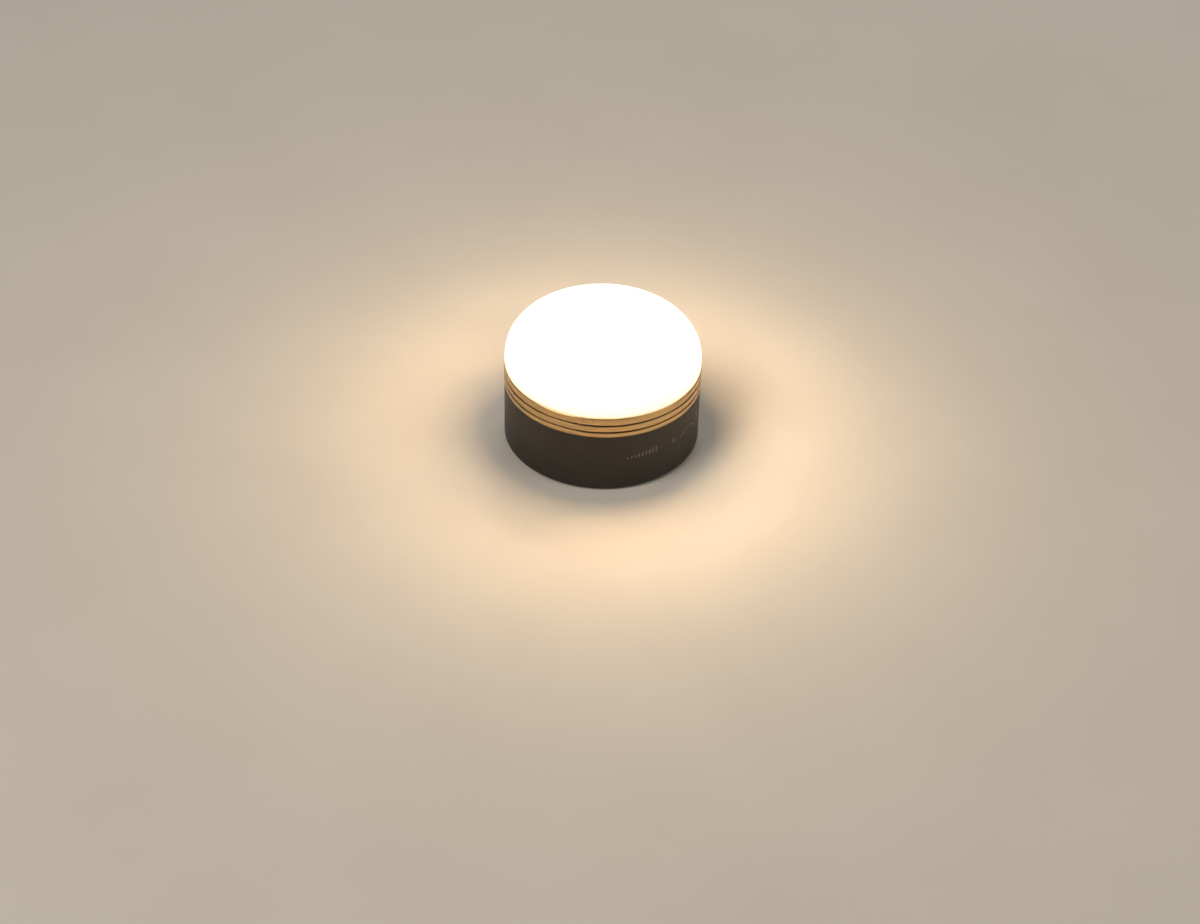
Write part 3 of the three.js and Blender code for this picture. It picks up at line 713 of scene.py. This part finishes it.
shell_corners = [
    (shell_inner, shell_low.z), (shell_radius, shell_low.z), (shell_radius, shell_high.z),
    (shell_inner, shell_high.z), (shell_inner, ledge_high), (ledge_inner, ledge_high),
    (ledge_inner, ledge_low), (shell_inner, ledge_low),
]
shell_radii = np.array([0.1, 1.0, 0.35, 0.15, 0.3, 0.1, 0.1, 0.1]) * mm
outer_steps = 288
drum = build("base_drum", turned_ring(shell_corners, shell_radii, outer_steps, 8))

boss_radius = 3.2 * mm
upper_boss_radius = 3 * mm
screw_hole = 1.4 * mm
boss_gap = 0.3 * mm
web_half = 0.9 * mm
lower_boss = (plate_high.z + boss_gap, plate_high.z + 9.6 * mm)
frame_low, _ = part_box("mid_frame")
upper_boss = (frame_low.z - 9 * mm, frame_low.z - boss_gap)
frame_spots = [middle_of(f"frame_screw_{i}") for i in (1, 2, 3)]
posts, bores = [], []
for spots, radius, (low, high) in ((screw_spots, boss_radius, lower_boss),
                                   (frame_spots, upper_boss_radius, upper_boss)):
    for spot in spots:
        posts.append(standing(spot, [(radius, low), (radius, high)]))
        bores.append(standing(spot, [(screw_hole, low - overshoot), (screw_hole, high + overshoot)],
                              24))
        angle = math.atan2(spot.y, spot.x)
        start, end = math.hypot(spot.x, spot.y) + radius * 0.5, shell_inner + shell_wall / 2
        web = bar((end - start) / 2, web_half, low + 1.4 * mm, high - 0.5 * mm)[0]
        spin = np.array([[math.cos(angle), math.sin(angle), 0],
                         [-math.sin(angle), math.cos(angle), 0], [0, 0, 1]])
        posts.append(solid(moved(web, (start + end) / 2) @ spin))
for post in posts:
    carve(drum, joined=build("post", post))


def hole_mouth(radius, chamfer, stretch=0.0):
    """A cutter for a hole through the shell whose mouth widens by the chamfer at the outer face."""
    profile = [(radius, shell_inner - 3 * mm), (radius, shell_radius - chamfer),
               (radius + chamfer * 2.5, shell_radius + chamfer * 1.5)]
    return turned(profile, 72, stretch)


sleeve_play, button_play, lens_play = 0.15 * mm, 0.3 * mm, 0.05 * mm
holes = [solid(laid(mouth, angle, height)) for mouth, angle, height in (
    (hole_mouth(sleeve_radius + sleeve_play, 0.35 * mm, sleeve_stretch), port_angle, port_height),
    (hole_mouth(cap_radius + button_play, 0.3 * mm), button_angle, button_height),
    (hole_mouth(pipe_radius + lens_play, 0.15 * mm), pipe_angle, port_height))]
carve(drum, cut=build("bores", *bores))
carve(drum, cut=build("mouths", *holes))
smooth(drum, 28)
wear(charcoal_abs, drum)
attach(drum, "base")
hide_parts("body_shell")


# ---------------------------------------------------------------- printed marks
# Pad-printed in pale grey ink on the front right of the drum: a wedge of bars that
# grow with brightness, and a small sun, a turn arrow and a large sun.

ink_lift = 0.03 * mm


def bent(flat, degrees, height):
    """Flat points (across, up) wrapped onto the drum about a middle at an angle from the front."""
    angle = math.radians(degrees - 90) + flat[..., 0] / shell_radius
    reach = shell_radius + ink_lift
    return np.stack([reach * np.cos(angle), reach * np.sin(angle), height + flat[..., 1]], -1)


def bar_mark(across, width, low, high):
    """An upright bar as a grid of flat points."""
    x, y = np.meshgrid(across + np.linspace(-width / 2, width / 2, 4), [low, high], indexing="ij")
    return np.stack([x, y], -1)


def ring_mark(across, up, inner, outer, start=0.0, end=2 * math.pi, steps=48):
    """Part of a flat ring as a grid, from its inner to its outer edge along its sweep."""
    sweep, reach = np.meshgrid(np.linspace(start, end, steps), [inner, outer], indexing="ij")
    return np.stack([across + reach * np.cos(sweep), up + reach * np.sin(sweep)], -1)[:, ::-1]


def sun_mark(across, up, size):
    """A disc with eight rays round it."""
    marks = [ring_mark(across, up, 0.02 * size, 0.42 * size)]
    half_ray = 0.07 / 0.72  # half the angle of a ray
    for i in range(8):
        turn = i * math.pi / 4
        marks.append(ring_mark(across, up, 0.6 * size, size, turn - half_ray, turn + half_ray, 4))
    return marks


wedge_angle = 25
wedge_height = 22.6 * mm
wedge_bars = 9
wedge_pitch = 2.1 * mm
wedge_bar_width = 0.85 * mm
wedge_foot = -1.9 * mm
first_top, top_growth = -1.2, 3.4  # millimetres
wedge_marks = [bar_mark((i - (wedge_bars - 1) / 2) * wedge_pitch, wedge_bar_width, wedge_foot,
                        (first_top + top_growth * i / (wedge_bars - 1)) * mm)
               for i in range(wedge_bars)]

dial_angle = 61
dial_height = 23 * mm
turn_radius = 8.8 * mm
turn_middle = -7.2 * mm
tip_angle = math.radians(30)
dial_marks = sun_mark(-13 * mm, -0.6 * mm, 1.9 * mm) + sun_mark(12.5 * mm, 0, 3.1 * mm)
dial_marks.append(ring_mark(0, turn_middle, 8.4 * mm, 9.2 * mm, math.radians(35),
                            math.radians(145)))
tip = np.array([turn_radius * math.cos(tip_angle), turn_middle + turn_radius * math.sin(tip_angle)])
arrow = np.array([[[-1.7, 1.0], [-1.7, 1.0]], [[0.35, -0.75], [0.9, 1.5]]]) * mm + tip
dial_marks.append(arrow[:, ::-1])

ink_grids = [(bent(marks, angle, height), False, False, False)
             for group, angle, height in ((wedge_marks, wedge_angle, wedge_height),
                                          (dial_marks, dial_angle, dial_height))
             for marks in group]
print_layer = build("printed_marks", *ink_grids)

# Pad-printing ink: a thin matt film, worn a little patchy by handling
pad_ink, tree, shader, where = new_material("pad_printed_ink", Roughness=0.6)
patchy = add(tree, "ShaderNodeTexNoise", {"Vector": where, "Scale": 1 / (1.11 * mm), "Detail": 5.0})
ink_tone = add(tree, "ShaderNodeMix", {0: patchy.outputs["Fac"], 6: "#57524a", 7: "#7c766c"},
               data_type="RGBA")
feed(shader, Base_Color=ink_tone.outputs[2])
wear(pad_ink, print_layer)
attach(print_layer, "base")


# ---------------------------------------------------------------- collar
# Three turned aluminium bands, satin anodised in champagne bronze, with a dark groove
# between each pair. The lowest is the frame's flange, the middle one turns, and the
# top one is the bezel that holds the dome.

trim_low, trim_high = frame_low.z + 3.2 * mm, frame_low.z + 5.9 * mm
ring_low, ring_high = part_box("dimmer_ring")
bezel_low, bezel_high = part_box("bezel_ring")
collar_radius = bezel_high.x
glide_low, glide_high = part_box("lower_glide")
upper_low, upper_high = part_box("upper_glide")
glide_outer, glide_inner = glide_high.x + 0.3 * mm, glide_high.x - 2.1 * mm
glide_seat = 0.6 * mm
sensor_low, sensor_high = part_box("ring_sensor")
hub_outer, hub_inner = sensor_high.y + 0.3 * mm, sensor_low.y - 0.3 * mm
deck_hole = hub_inner - 12.5 * mm
deck_top = trim_low + 1.8 * mm
spigot = shell_inner - 0.3 * mm
hub_top = bezel_low.z - 0.1 * mm
turned_edge = 0.3 * mm
fine = 0.08 * mm
head_play = 0.1 * mm

frame_corners = [
    (spigot, frame_low.z), (spigot, trim_low), (collar_radius, trim_low),
    (collar_radius, trim_high), (glide_outer, trim_high), (glide_outer, trim_high - glide_seat),
    (glide_inner, trim_high - glide_seat), (glide_inner, trim_high), (hub_outer, trim_high),
    (hub_outer, hub_top), (hub_inner, hub_top), (hub_inner, deck_top), (deck_hole, deck_top),
    (deck_hole, trim_low), (spigot - 1.6 * mm, trim_low), (spigot - 1.6 * mm, frame_low.z),
]
frame_radii = [fine, fine, turned_edge, turned_edge] + [fine] * 12
chassis = build("frame_and_trim", turned_ring(frame_corners, frame_radii, outer_steps, 5))
sink_spots = [middle_of(f"sink_screw_{i}") for i in (1, 2, 3)]
pads = [standing(spot, [(upper_boss_radius, frame_low.z),
                        (upper_boss_radius, trim_low + 0.5 * mm)], 32) for spot in frame_spots]
head_seat = trim_high - 1.5 * mm
wells = [standing(spot, [(screw_hole, frame_low.z - overshoot), (screw_hole, head_seat),
                         (head_radius + head_play, head_seat),
                         (head_radius + head_play, trim_high + overshoot)], 32)
         for spot in frame_spots]
wells += [standing(spot, [(screw_hole, trim_low - overshoot), (screw_hole, deck_top + overshoot)],
                   24) for spot in sink_spots]
window_half = sensor_high.x + 0.3 * mm
window_deep = (hub_outer - hub_inner) / 2 + overshoot
window = bar(window_deep, window_half, trim_high, sensor_high.z + 0.3 * mm)[0]
wells.append(solid(moved(quarter_turned(window), 0, (hub_outer + hub_inner) / 2)))
carve(chassis, joined=build("pads", *pads), cut=build("wells", *wells))
smooth(chassis, 28)

ring_inner = hub_outer + 0.3 * mm
ring_corners = [(ring_inner, ring_low.z), (collar_radius, ring_low.z),
                (collar_radius, ring_high.z), (ring_inner, ring_high.z)]
dimmer = build("dimmer_band", turned_ring(ring_corners, [fine, turned_edge, turned_edge, fine],
                                          outer_steps, 6))
magnet_spots = [middle_of(f"ring_magnet_{i}") for i in (1, 2, 3, 4)]
pocket_top = ring_low.z + 2.5 * mm
pocket_radius = 1.8 * mm
pockets = [standing(spot, [(pocket_radius, ring_low.z - overshoot), (pocket_radius, pocket_top)], 24)
           for spot in magnet_spots]

# An index dot at the back, drilled and filled with paint, shows how far the ring is turned
dot_angle = 90
dot_radius = 0.7 * mm
dot_height = (ring_low.z + ring_high.z) / 2
drilled = turned([(dot_radius, collar_radius - 0.3 * mm), (dot_radius, collar_radius + overshoot)],
                 small_steps)
paint_radius = dot_radius - 0.05 * mm
painted = turned([(paint_radius, collar_radius - 0.25 * mm), (paint_radius, collar_radius - 0.1 * mm),
                  (0.5 * dot_radius, collar_radius - 0.14 * mm)], small_steps)
carve(dimmer, cut=build("pockets", *pockets))
carve(dimmer, cut=build("drilled", solid(laid(drilled, dot_angle, dot_height))))
smooth(dimmer, 28)

dot = smooth(build("index_dot", solid(laid(painted, dot_angle, dot_height))), 50)
wear(pad_ink, dot)
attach(dot, "dimmer")

lip_inner = collar_radius - 2.1 * mm
bezel_floor = bezel_low.z + 1.6 * mm
bezel_inner = hub_inner + 0.2 * mm
shoulder = 0.9 * mm
bezel_corners = [
    (bezel_inner, bezel_low.z), (glide_inner, bezel_low.z),
    (glide_inner, bezel_low.z + glide_seat), (glide_outer, bezel_low.z + glide_seat),
    (glide_outer, bezel_low.z), (collar_radius, bezel_low.z),
    (collar_radius, bezel_high.z), (lip_inner, bezel_high.z), (lip_inner, bezel_floor),
    (bezel_inner, bezel_floor),
]
bezel_radii = [fine] * 5 + [turned_edge, shoulder] + [fine] * 3
bezel = smooth(build("bezel_band", turned_ring(bezel_corners, bezel_radii, outer_steps, 8)), 28)

# Turned aluminium, bead blasted and anodised champagne bronze: a satin metal with faint
# turning lines round it and duller patches where hands have been. Real lines are under
# 0.05 mm apart, and are drawn 0.3 mm apart so that they show.
champagne, tree, shader, where = new_material("champagne_anodised_aluminium", Metallic=1.0,
                                              Roughness=0.34)
ring_wise = add(tree, "ShaderNodeMapping", {"Vector": where, "Scale": (0.0, 0.0, 3.3 / mm)})
lines = add(tree, "ShaderNodeTexNoise", {"Vector": ring_wise.outputs["Vector"], "Scale": 1.0,
                                         "Detail": 2.0})
handled = add(tree, "ShaderNodeTexNoise", {"Vector": where, "Scale": 1 / (22.2 * mm), "Detail": 4.0})
bronze_tone = add(tree, "ShaderNodeMix", {0: handled.outputs["Fac"], 6: "#b5976b", 7: "#c8ac80"},
                  data_type="RGBA")
satin = add(tree, "ShaderNodeMapRange", {"Value": handled.outputs["Fac"], "To Min": 0.2,
                                         "To Max": 0.4})
turning = add(tree, "ShaderNodeBump", {"Height": lines.outputs["Fac"], "Strength": 0.25,
                                       "Distance": 0.04 * mm})
feed(shader, Base_Color=bronze_tone.outputs[2], Roughness=satin.outputs["Result"],
     Normal=turning.outputs["Normal"])
wear(champagne, chassis, dimmer, bezel)
for piece, node, body in ((chassis, "mid_frame", "base"), (dimmer, "dimmer_ring", "dimmer"),
                          (bezel, "bezel_ring", "base")):
    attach(piece, body)
    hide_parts(node)


# ---------------------------------------------------------------- slip rings
# Two flat rings of black acetal that the middle band runs between. They are what makes
# the grooves look dark.

# Acetal, moulded: black, with a low waxy sheen
acetal, tree, shader, where = new_material("black_acetal", Roughness=0.4, IOR=1.48)
waxy = add(tree, "ShaderNodeTexNoise", {"Vector": where, "Scale": 1 / (2.5 * mm), "Detail": 3.0})
acetal_tone = add(tree, "ShaderNodeMix", {0: waxy.outputs["Fac"], 6: "#0d0c0b", 7: "#191714"},
                  data_type="RGBA")
feed(shader, Base_Color=acetal_tone.outputs[2])
glide_width = 1.8 * mm
for node, low, high in (("lower_glide", glide_low, glide_high),
                        ("upper_glide", upper_low, upper_high)):
    corners = [(high.x - glide_width, low.z), (high.x, low.z), (high.x, high.z),
               (high.x - glide_width, high.z)]
    glide = smooth(build(f"{node}_ring", turned_ring(corners, 0.15 * mm, 192, 4)))
    wear(acetal, glide)
    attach(glide, "base")
    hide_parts(node)


# ---------------------------------------------------------------- light source
# Eight warm white LEDs on a white, aluminium-cored board, and a white moulded dish
# that throws their light up into the dome.

# White solder mask over copper: smooth, with the copper showing as faint tiles
white_mask, tree, shader, where = new_material("white_solder_mask", Roughness=0.35)
copper = add(tree, "ShaderNodeTexBrick", {
    "Vector": where, "Scale": 1 / (29.4 * mm), "Mortar Size": 0.012, "Mortar Smooth": 0.6,
    "Color1": "#efeee8", "Color2": "#ebe9e2",
    "Mortar": "#e0ddd4"}, offset=0.0)
board_relief = add(tree, "ShaderNodeBump", {"Height": copper.outputs["Fac"], "Strength": 0.3,
                                            "Distance": 0.04 * mm})
feed(shader, Base_Color=copper.outputs["Color"], Normal=board_relief.outputs["Normal"])
wear(white_mask, nodes["led_board"])

# Silicone filled with phosphor: a fine amber grain that glows warm white
phosphor, tree, shader, where = new_material("phosphor_silicone", Roughness=0.3,
                                             Emission_Strength=6.0)
grains = add(tree, "ShaderNodeTexNoise", {"Vector": where, "Scale": 1 / (0.333 * mm)})
lit = add(tree, "ShaderNodeMix", {0: grains.outputs["Fac"], 6: "#ffd98f", 7: "#fff0c4"},
          data_type="RGBA")
feed(shader, Base_Color=lit.outputs[2], Emission_Color=lit.outputs[2])
wear(phosphor, *[nodes[f"led_{i}"] for i in range(1, 9)])

dish_low, dish_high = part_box("reflector")
_, board_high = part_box("led_board")
dish_wall = 1 * mm
dish_foot = board_high.x + 0.4 * mm
dish_flange = 2.6 * mm
dish_waist = hub_inner - 0.3 * mm
waist_height = bezel_floor + 0.6 * mm
dish_corners = [
    (dish_foot - dish_flange, dish_low.z), (dish_foot, dish_low.z), (dish_waist, waist_height),
    (dish_high.x, dish_high.z - dish_wall), (dish_high.x, dish_high.z),
    (dish_waist - 0.6 * mm, waist_height + dish_wall),
    (dish_foot - dish_wall, dish_low.z + dish_wall),
    (dish_foot - dish_flange, dish_low.z + dish_wall),
]
dish_radii = np.array([0.2, 0.2, 0.8, 0.2, 0.2, 0.8, 0.2, 0.2]) * mm
dish = smooth(build("reflector_dish", turned_ring(dish_corners, dish_radii, arc_steps=5)))

# Polycarbonate with white pigment, moulded: smooth, even and nearly pure white
white_pc, tree, shader, where = new_material("reflective_white_polycarbonate", Roughness=0.4)
moulded = add(tree, "ShaderNodeTexNoise", {"Vector": where, "Scale": 1 / (16.7 * mm)})
white_tone = add(tree, "ShaderNodeMix", {0: moulded.outputs["Fac"], 6: "#f1f0eb", 7: "#f8f7f3"},
                 data_type="RGBA")
feed(shader, Base_Color=white_tone.outputs[2])
wear(white_pc, dish)
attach(dish, "base")
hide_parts("reflector")


# ---------------------------------------------------------------- dome
# Opal polycarbonate, 2 mm thick, blow moulded: full, soft shoulders and a low crown,
# with a skirt that drops into the bezel. Lit from inside, it glows an even warm white
# that falls off and turns yellower over the last few millimetres above the bezel.

dome_low, dome_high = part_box("diffuser_dome")
dome_wall = 2 * mm
rim_height = bezel_high.z + 0.2 * mm
dome_radius = dome_high.x
dome_rise = dome_high.z - rim_height
skirt_outer = lip_inner - 0.3 * mm
skirt_inner = skirt_outer - dome_wall
outward_power = 2.4
upward_power = 2.75


def dome_curve(reach, rise, steps):
    """One section of the dome from its rim to just short of the axis: a superellipse, whose
    radius is reach times cos^(2/p) and whose height is rise times sin^(2/q)."""
    t = np.linspace(0, 1, steps) ** 1.15 * (math.pi / 2 * 0.995)
    return np.stack([reach * np.cos(t) ** (2 / outward_power),
                     rim_height + rise * np.sin(t) ** (2 / upward_power)], -1)


dome_profile = np.concatenate([
    dome_curve(skirt_inner, dome_rise - dome_wall, 48)[::-1],
    [(skirt_inner, dome_low.z + 0.1 * mm), (skirt_inner + 0.1 * mm, dome_low.z),
     (skirt_outer - 0.1 * mm, dome_low.z), (skirt_outer, dome_low.z + 0.1 * mm),
     (skirt_outer, rim_height - 0.02 * mm), (dome_radius - 0.25 * mm, rim_height - 0.02 * mm)],
    dome_curve(dome_radius, dome_rise, 96),
])
dome = smooth(build("opal_dome", solid(turned(dome_profile, outer_steps))), 40)

# Opal polycarbonate, lit from inside: a satin, faintly cloudy white that glows

opal, tree, shader, where = new_material("lit_opal_polycarbonate", Roughness=0.38, IOR=1.58,
                                         Emission_Strength=0.95)
height = add(tree, "ShaderNodeSeparateXYZ", {"Vector": where}).outputs["Z"]
edge_share, side_share = (
    add(tree, "ShaderNodeMapRange", {"Value": height, "From Min": rim_height,
                                     "From Max": rim_height + span},
        interpolation_type="SMOOTHSTEP").outputs["Result"] for span in (1.8 * mm, 12 * mm))
cloudy = add(tree, "ShaderNodeTexNoise", {"Vector": where, "Scale": 1 / (25 * mm), "Detail": 2.0})
resin = add(tree, "ShaderNodeMix", {0: cloudy.outputs["Fac"], 6: "#cfc6b4", 7: "#d8d0bf"},
            data_type="RGBA")
sides = add(tree, "ShaderNodeMix", {0: side_share, 6: "#faecd4", 7: "#fffdf8"}, data_type="RGBA")
glow = add(tree, "ShaderNodeMix", {0: edge_share, 6: "#dcc08c", 7: sides.outputs[2]},
           data_type="RGBA")
feed(shader, Base_Color=resin.outputs[2], Emission_Color=glow.outputs[2])
wear(opal, dome)
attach(dome, "base")
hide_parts("diffuser_dome")

# The light that the dome throws on the floor leaves its sides, so a ring of upright
# panels just inside them gives it, and the dome itself casts no shadow.
dome.visible_shadow = False
panel_count = 24
panel_reach = 51 * mm
glow_panel = bpy.data.lights.new("warm_glow", "AREA")
glow_panel.shape = "RECTANGLE"
glow_panel.size = 2 * panel_reach * math.tan(math.pi / panel_count)
glow_panel.size_y = 15 * mm
glow_panel.energy = 0.034
glow_panel.color = linear("#ffd7a6")[:3]
for i in range(panel_count):
    outward = Vector((math.cos(2 * math.pi * i / panel_count),
                      math.sin(2 * math.pi * i / panel_count), 0))
    panel = bpy.data.objects.new(f"warm_glow_{i}", glow_panel)
    panel.location = outward * panel_reach + Vector((0, 0, rim_height + 9 * mm))
    panel.rotation_euler = outward.to_track_quat("-Z", "Y").to_euler()
    bpy.context.scene.collection.objects.link(panel)
